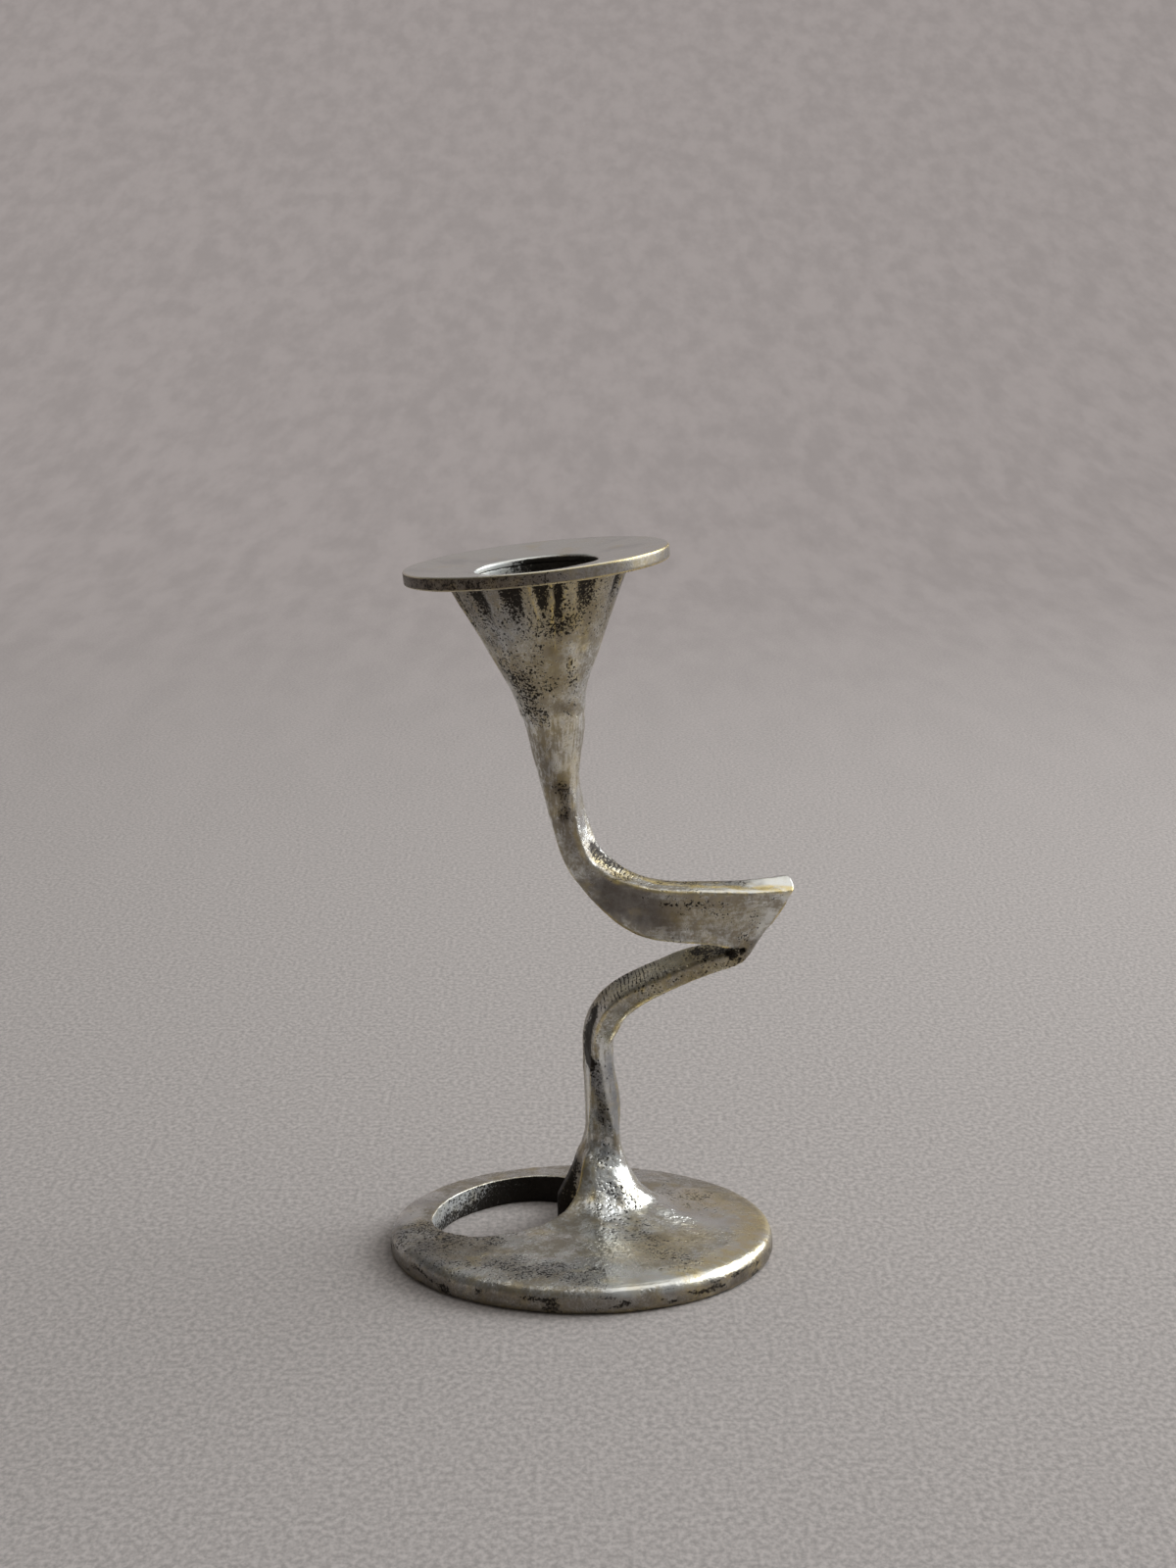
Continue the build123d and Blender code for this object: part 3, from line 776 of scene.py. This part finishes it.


# Worn silver over brass: rubbed bright, dulled grey-brown, black in the hollows, brass at the edges, and
# painted highlight, shade and sky reflection where the masks ask for them
silverLook = {
    "broad": 110, "middle": 420, "fine": 1900, "speck": 3200, "warm": 170,    # noise, per metre
    "rubbed": (1.32, 1.85), "drift": (0.5, 0.75), "driftShare": 0.35, "thin": (0.5, 0.75), "thinShare": 0.3,
    "wornEdge": (0.32, 0.56), "edgeShare": 0.9, "grains": (0.3, 0.7), "dark": (0.9, 1.25), "darkShare": 0.98,
    "coolPatches": (0.25, 0.6, (0.4, 0.95)), "brownPatches": (0.25, 0.6, (0.55, 1.0)),
    "barePatches": (0.3, 0.6, (0.35, 1.0)), "roughness": 0.38, "blanch": -0.55,
}


def makeWornSilver():
    look = silverLook
    masks = ("Edge", "Hollow", "Soot", "Brown", "Bright", "Bare", "Cool", "Brush", "Matte")
    tree, given, made, coords = newGroup("wornSilver", {
        "Silver": (0.8, 0.77, 0.71, 1), "Dulled": (0.36, 0.31, 0.25, 1), "Umber": (0.12, 0.1, 0.075, 1),
        "Slate": (0.33, 0.35, 0.39, 1), "Black": (0.025, 0.02, 0.016, 1), "Brass": (0.72, 0.54, 0.22, 1),
        **dict.fromkeys(masks, 0.0),
    }, {"Color": 4, "Roughness": 1, "Metallic": 1})
    broad = noiseNode(tree, coords, (-1100, 600), look["broad"], 3)
    middle = noiseNode(tree, coords, (-1100, 350), look["middle"], 5, 0.65)
    fine = noiseNode(tree, coords, (-1100, 100), look["fine"], 4, 0.6)
    speck = noiseNode(tree, coords, (-1100, -50), look["speck"], 2, 0.6)
    warm = noiseNode(tree, coords, (-1100, -150), look["warm"], 4)
    # rubbed bright or dulled, in clouds with broken borders; the bright mask also carries painted highlights
    clouds = [(broad, 0.8), (middle, 1.2), (fine, 1.0), (given["Bright"], 0.7), (given["Brush"], 1.0)]
    rubbed = rangeNode(tree, weighed(tree, clouds, (-600, 600)), (-250, 450), *look["rubbed"])
    tone = mixColour(tree, rubbed, given["Dulled"], given["Silver"], (0, 400))
    # blue-grey, in drifts of random tone, and painted sky reflection where the cool mask asks for it
    drift = rangeNode(tree, broad, (-850, 800), *look["drift"])
    drift = times(tree, drift, look["driftShare"], (-650, 800))
    patches = rangeNode(tree, middle, (-850, 950), *look["coolPatches"])
    cooled = times(tree, given["Cool"], patches, (-650, 950))
    drift = mathNode(tree, "MAXIMUM", drift, cooled, (-450, 850))
    tone = mixColour(tree, drift, tone, given["Slate"], (100, 600))
    # brown film
    patches = rangeNode(tree, middle, (-850, 0), *look["brownPatches"])
    film = times(tree, given["Brown"], patches, (-250, 200))
    tone = mixColour(tree, film, tone, given["Umber"], (150, 400))
    # a yellow cast where the silver is thin, and bare brass at the edges
    thin = rangeNode(tree, warm, (-850, -150), *look["thin"])
    thin = times(tree, thin, look["thinShare"], (-650, -150))
    patches = rangeNode(tree, middle, (-850, -250), *look["barePatches"])
    rubbedThin = times(tree, given["Bare"], patches, (-650, -250))
    thin = mathNode(tree, "MAXIMUM", thin, rubbedThin, (-450, -200))
    worn = rangeNode(tree, middle, (-850, 150), *look["wornEdge"])
    worn = times(tree, given["Edge"], worn, (-650, 100))
    worn = times(tree, worn, look["edgeShare"], (-450, 50))
    bare = mathNode(tree, "MAXIMUM", thin, worn, (-250, 0))
    tone = mixColour(tree, bare, tone, given["Brass"], (300, 350))
    # black collects in hollows and where shade is painted, and breaks up into specks at its borders
    laid = [(given["Hollow"], 0.35), (given["Soot"], 1.0)]
    for i, (value, weight) in enumerate(((fine, 0.5), (middle, 0.25), (speck, 0.4))):
        laid.append((rangeNode(tree, value, (-1000, -500 - 150 * i), *look["grains"]), weight))
    dark = rangeNode(tree, weighed(tree, laid, (-500, -500)), (-250, -500), *look["dark"])
    blackened = times(tree, dark, look["darkShare"], (0, -400))
    tone = mixColour(tree, blackened, tone, given["Black"], (550, 250))
    rough = weighed(tree, [(rubbed, -0.15), (dark, 0.22), (given["Matte"], 0.45)], (500, -100))
    rough = mathNode(tree, "ADD", look["roughness"], rough, (750, -150))
    # painted highlight: these places are blanched, which is not a mirror, so they read as lit
    blanched = times(tree, given["Matte"], look["blanch"], (500, -350))
    feed(tree, tone, made["Color"])
    feed(tree, rough, made["Roughness"])
    feed(tree, mathNode(tree, "ADD", 1.0, blanched, (750, -350)), made["Metallic"])
    return tree


# Cast skin: fine grain, with pits in patches and wherever the cover asks for them
skinLook = {"grain": 1400, "pits": 1150, "pit": (0.45, 0.12), "patches": 140, "patch": (0.48, 0.62)}


def makeCastSkin():
    tree, given, made, coords = newGroup(
        "castSkin", {"Grain": 1.0, "Pits": 1.0, "Cover": 0.0}, {"Height": 1, "Pit": 1},
    )
    grain = noiseNode(tree, coords, (-1100, 300), skinLook["grain"], 4, 0.6)
    cells = addNode(tree, "ShaderNodeTexVoronoi", (-1100, 0), feature="F1")
    cells.inputs["Scale"].default_value = skinLook["pits"]
    feed(tree, coords, cells.inputs["Vector"])
    patchy = noiseNode(tree, coords, (-1100, -300), skinLook["patches"], 2)
    patchy = rangeNode(tree, patchy, (-800, -300), *skinLook["patch"])
    patchy = mathNode(tree, "MAXIMUM", patchy, given["Cover"], (-650, -300))
    pit = rangeNode(tree, cells.outputs["Distance"], (-800, 0), *skinLook["pit"])
    pit = times(tree, pit, patchy, (-500, -100))
    pit = times(tree, pit, given["Pits"], (-300, -100))
    depth = mathNode(tree, "ADD", 1.0, given["Cover"], (-300, -300))
    deep = times(tree, pit, depth, (-150, -200))
    lift = times(tree, grain, given["Grain"], (-300, 300))
    feed(tree, mathNode(tree, "SUBTRACT", lift, deep, (0, 200)), made["Height"])
    feed(tree, pit, made["Pit"])
    return tree


# File marks: close lines across the bar, deeper in some strokes than in others
fileLook = {"sway": 260, "swayBy": 1.6, "strokes": 520, "stroke": (0.35, 0.65), "line": (0.1, 0.9)}


def makeFileMarks():
    tree, given, made, coords = newGroup(
        "fileMarks", {"Along": 0.0, "Spacing": 0.8, "Amount": 0.0}, {"Height": 1, "Line": 1},
    )
    sway = noiseNode(tree, coords, (-1100, 300), fileLook["sway"], 2)
    sway = times(tree, sway, fileLook["swayBy"], (-850, 300))
    run = mathNode(tree, "ADD", given["Along"], sway, (-650, 200))
    run = mathNode(tree, "DIVIDE", run, given["Spacing"], (-450, 200))
    run = times(tree, run, 2 * math.pi, (-250, 200))
    wave = mathNode(tree, "SINE", run, 0.0, (-50, 200))
    stroke = noiseNode(tree, coords, (-1100, 0), fileLook["strokes"], 2)
    stroke = rangeNode(tree, stroke, (-850, 0), *fileLook["stroke"])
    line = rangeNode(tree, wave, (150, 200), *fileLook["line"])
    line = times(tree, line, stroke, (350, 100))
    line = times(tree, line, given["Amount"], (550, 100))
    feed(tree, times(tree, line, -1.0, (750, 200)), made["Height"])
    feed(tree, line, made["Line"])
    return tree


# Brush lines: long fine streaks along one axis
brushLook = {"streaks": 1600, "depth": 1.5, "upright": (1, 1, 0.05), "level": (0.07, 1, 1)}


def makeBrushLines():
    tree, given, made, coords = newGroup(
        "brushLines", {"Stretch": (1, 1, 1), "Amount": 0.0}, {"Streak": 1, "Height": 1},
    )
    drawn = addNode(tree, "ShaderNodeVectorMath", (-1200, 300), operation="MULTIPLY")
    feed(tree, coords, drawn.inputs[0])
    feed(tree, given["Stretch"], drawn.inputs[1])
    streak = noiseNode(tree, drawn.outputs[0], (-900, 300), brushLook["streaks"], 4, 0.6)
    streak = mathNode(tree, "SUBTRACT", streak, 0.5, (-600, 300))
    streak = times(tree, streak, given["Amount"], (-400, 300))
    feed(tree, streak, made["Streak"])
    feed(tree, times(tree, streak, brushLook["depth"], (-200, 200)), made["Height"])
    return tree


wornSilver = makeWornSilver()
castSkin = makeCastSkin()
fileMarks = makeFileMarks()
brushLines = makeBrushLines()
readMasks = [finish for finish in masks if finish != "plain"]    # plain only holds back the edges


def silveredBrass(name, values):
    material = bpy.data.materials.new(name)
    material.use_nodes = True
    tree = material.node_tree
    tree.nodes.clear()
    shader = addNode(tree, "ShaderNodeBsdfPrincipled", (500, 0))
    feed(tree, shader.outputs["BSDF"], addNode(tree, "ShaderNodeOutputMaterial", (800, 0)).inputs["Surface"])
    masks = {}
    for i, attribute in enumerate(readMasks):
        reader = addNode(tree, "ShaderNodeAttribute", (-900, 700 - 180 * i), attribute_name=attribute)
        masks[attribute] = reader.outputs["Fac"]
    grain = addNode(tree, "ShaderNodeGroup", (-600, -300), node_tree=castSkin)
    files = addNode(tree, "ShaderNodeGroup", (-600, -550), node_tree=fileMarks)
    worn = addNode(tree, "ShaderNodeGroup", (200, 200), node_tree=wornSilver)
    for label in ("Grain", "Pits"):
        grain.inputs[label].default_value = values[label.lower()]
    feed(tree, masks["pitted"], grain.inputs["Cover"])
    files.inputs["Spacing"].default_value = values["fileSpacing"]
    feed(tree, masks["along"], files.inputs["Along"])
    feed(tree, masks["hatch"], files.inputs["Amount"])
    for label in ("Silver", "Dulled", "Umber", "Slate", "Black", "Brass"):
        worn.inputs[label].default_value = (*values[label.lower()], 1)
    for attribute in ("edge", "hollow", "brown", "bright", "cool", "matte"):
        feed(tree, masks[attribute], worn.inputs[attribute.capitalize()])
    feed(tree, masks["brass"], worn.inputs["Bare"])
    sooty = [(masks["soot"], 1.0), (grain.outputs["Pit"], values["pitSoot"])]
    sooty.append((files.outputs["Line"], values["lineSoot"]))
    feed(tree, weighed(tree, sooty, (-100, 0)), worn.inputs["Soot"])
    for made, label in (("Color", "Base Color"), ("Roughness", "Roughness"), ("Metallic", "Metallic")):
        feed(tree, worn.outputs[made], shader.inputs[label])
    height = mathNode(tree, "ADD", grain.outputs["Height"], files.outputs["Height"], (-100, -450))
    streaks = []
    for i, attribute in enumerate(("upright", "level")):
        brush = addNode(tree, "ShaderNodeGroup", (-600, -800 - 200 * i), node_tree=brushLines)
        brush.inputs["Stretch"].default_value = brushLook[attribute]
        feed(tree, masks[attribute], brush.inputs["Amount"])
        streaks.append((brush.outputs["Streak"], values["brush"]))
        height = mathNode(tree, "ADD", height, brush.outputs["Height"], (-100, -800 - 200 * i))
    feed(tree, weighed(tree, streaks, (-100, -700)), worn.inputs["Brush"])
    # rubbed places, and those with a painted highlight, are smoother, but the pitted ones keep their pits
    rubbed = mathNode(tree, "SUBTRACT", masks["bright"], masks["pitted"], (-300, -600), clamp=True)
    rubbed = times(tree, rubbed, values["smooth"], (-200, -600))
    smoothed = mathNode(tree, "SUBTRACT", 1.0, rubbed, (-100, -600))
    height = times(tree, height, smoothed, (50, -450))
    bump = addNode(tree, "ShaderNodeBump", (200, -400))
    bump.inputs["Strength"].default_value = values["bump"]
    bump.inputs["Distance"].default_value = values["bumpDepth"] * mm
    feed(tree, height, bump.inputs["Height"])
    feed(tree, bump.outputs["Normal"], shader.inputs["Normal"])
    return material


castFinish = {
    "silver": (0.80, 0.81, 0.78), "dulled": (0.37, 0.335, 0.27), "umber": (0.13, 0.108, 0.085),
    "slate": (0.34, 0.36, 0.39), "black": (0.028, 0.024, 0.020), "brass": (0.76, 0.60, 0.24),
    "grain": 1.0, "pits": 0.9, "pitSoot": 0.5, "fileSpacing": 0.85, "lineSoot": 0.6, "brush": 1.8,
    "bump": 0.5, "bumpDepth": 0.15, "smooth": 0.75,
}
panFinish = {**castFinish, "grain": 0.25, "pits": 0.1, "bump": 0.15}
dowelFinish = {
    **castFinish, "silver": (0.72, 0.55, 0.24), "dulled": (0.55, 0.40, 0.17), "pits": 0.1, "bump": 0.2,
}
castSilver = silveredBrass("castSilver", castFinish)
panSilver = silveredBrass("panSilver", panFinish)
dowelRod = silveredBrass("dowelRod", dowelFinish)
for obj in (footCasting, legBar, armBar, ribbonBand, neckStem, flutedCup):
    obj.data.materials.clear()
    obj.data.materials.append(castSilver)
dripPan.data.materials.append(panSilver)
for node in ("foot_dowel", "leg_dowel", "fold_dowel", "ribbon_dowel", "neck_dowel"):
    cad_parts[node].data.materials.clear()
    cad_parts[node].data.materials.append(dowelRod)
print("finishes done")

# Floor that sweeps up behind
backdrop = {
    "half": 12.0, "bend": 0.9, "radius": 3.2, "angle": 84, "steps": 30,
    "colour": (0.52, 0.482, 0.464), "glow": (0.333, 0.299, 0.290), "glowFrom": 0.15, "glowTo": 1.2,
    "upperGlow": (0.36, 0.365, 0.35), "upper": (1.7, 2.5),    # the top is lighter and less pink
    "nap": (1000, 0.2, (1, 0.6, 1)), "cloud": (60, 0.07, (1, 0.2, 1)),    # scale, share and stretch
}
sweep = bmesh.new()
sweepLine = [(-backdrop["half"], 0.0), (backdrop["bend"], 0.0)]
for i in range(1, backdrop["steps"] + 1):
    angle = math.radians(backdrop["angle"]) * i / backdrop["steps"]
    back = backdrop["bend"] + backdrop["radius"] * math.sin(angle)
    sweepLine.append((back, backdrop["radius"] * (1 - math.cos(angle))))
rows = [[sweep.verts.new((side * backdrop["half"], y, z)) for side in (-1, 1)] for y, z in sweepLine]
for a, b in zip(rows, rows[1:]):
    sweep.faces.new((a[0], a[1], b[1], b[0]))
sweepMesh = asMesh(sweep, "backdrop")
sweepMesh.polygons.foreach_set("use_smooth", [True] * len(sweepMesh.polygons))
backdropObj = addObject("backdrop", sweepMesh)
cloth = bpy.data.materials.new("backdropCloth")
cloth.use_nodes = True
tree = cloth.node_tree
tree.nodes.clear()
place = addNode(tree, "ShaderNodeTexCoord", (-1100, 0)).outputs["Object"]


def mottled(colour, scale, share, stretch, at):
    drawn = addNode(tree, "ShaderNodeVectorMath", (at[0] - 600, at[1]), operation="MULTIPLY")
    feed(tree, place, drawn.inputs[0])
    drawn.inputs[1].default_value = stretch
    spots = noiseNode(tree, drawn.outputs[0], (at[0] - 400, at[1]), scale, 4, 0.6)
    spots = rangeNode(tree, spots, (at[0] - 200, at[1]), 0.3, 0.7)
    deep, pale = [(*(c * factor for c in colour), 1) for factor in (1 - share, 1 + share)]
    return mixColour(tree, spots, deep, pale, at)


diffuse = addNode(tree, "ShaderNodeBsdfDiffuse", (0, 0))
nap = mottled(backdrop["colour"], *backdrop["nap"], (-250, -100))
feed(tree, nap, diffuse.inputs["Color"])
glow = addNode(tree, "ShaderNodeEmission", (0, -200))
part = addNode(tree, "ShaderNodeSeparateXYZ", (-900, -600))
feed(tree, place, part.inputs[0])
upper = rangeNode(tree, part.outputs["Z"], (-700, -600), *backdrop["upper"])
lower = mottled(backdrop["glow"], *backdrop["cloud"], (-450, -400))
feed(tree, mixColour(tree, upper, lower, (*backdrop["upperGlow"], 1), (-200, -400)), glow.inputs["Color"])
rays = addNode(tree, "ShaderNodeLightPath", (-700, 300)).outputs
seen = mathNode(tree, "MAXIMUM", rays["Is Camera Ray"], rays["Is Glossy Ray"], (-450, 300))
seen = mathNode(tree, "MAXIMUM", seen, rays["Is Transmission Ray"], (-250, 300))
away = addNode(tree, "ShaderNodeVectorMath", (-700, 100), operation="LENGTH")
feed(tree, place, away.inputs[0])
far = rangeNode(tree, away.outputs["Value"], (-450, 100), backdrop["glowFrom"], backdrop["glowTo"])
mix = addNode(tree, "ShaderNodeMixShader", (250, 100))
feed(tree, times(tree, seen, far, (0, 250)), mix.inputs[0])
feed(tree, diffuse.outputs[0], mix.inputs[1])
feed(tree, glow.outputs[0], mix.inputs[2])
feed(tree, mix.outputs[0], addNode(tree, "ShaderNodeOutputMaterial", (500, 100)).inputs["Surface"])
sweepMesh.materials.append(cloth)

# Light: a large window to the right, a soft light overhead, and a dim room that is darker to the left
lamps = {
    "window": {
        "toward": (0.785, 0.36, 0.46), "distance": 1.7, "size": (1.5, 1.2), "power": 25.0,
        "colour": (0.95, 0.98, 1),
    },
    "overhead": {
        "toward": (0.2, 0.22, 0.95), "distance": 1.3, "size": (1.4, 1.4), "power": 4.2,
        "colour": (1, 0.98, 0.95),
    },
}
for name, lamp in lamps.items():
    data = bpy.data.lights.new(name, "AREA")
    data.shape = "RECTANGLE"
    data.size, data.size_y = lamp["size"]
    data.energy = lamp["power"]
    data.color = lamp["colour"]
    lampObj = addObject(name, data)
    toward = Vector(lamp["toward"]).normalized()
    lampObj.location = toward * lamp["distance"]
    lampObj.rotation_euler = (-toward).to_track_quat("-Z", "Y").to_euler()

walls = {
    "left": (0.11, 0.105, 0.10, 1), "right": (0.34, 0.34, 0.34, 1), "across": (-0.8, 0.9),
    "low": (0.32, 0.295, 0.287, 1), "rise": (0.06, 0.16),    # paler where the walls meet the floor
}
room = bpy.data.worlds.new("room")
room.use_nodes = True
tree = room.node_tree
side = addNode(tree, "ShaderNodeSeparateXYZ", (-600, 0))
feed(tree, addNode(tree, "ShaderNodeTexCoord", (-800, 0)).outputs["Generated"], side.inputs[0])
toRight = rangeNode(tree, side.outputs["X"], (-400, 0), *walls["across"])
shade = mixColour(tree, toRight, walls["left"], walls["right"], (-200, 0))
rising = rangeNode(tree, side.outputs["Z"], (-400, -300), *walls["rise"])
feed(tree, mixColour(tree, rising, walls["low"], shade, (0, -100)), tree.nodes["Background"].inputs["Color"])
scene.world = room

# Camera at the height and tilt of the picture
view = {"place": (0.0012, -0.5538, 0.1990), "pitch": 79.04, "lens": 68.6}
eye = bpy.data.cameras.new("eye")
eye.lens = view["lens"]
eyeObj = addObject("eye", eye)
eyeObj.location = view["place"]
eyeObj.rotation_euler = (math.radians(view["pitch"]), 0, 0)
scene.camera = eyeObj
scene.view_settings.view_transform = "Standard"
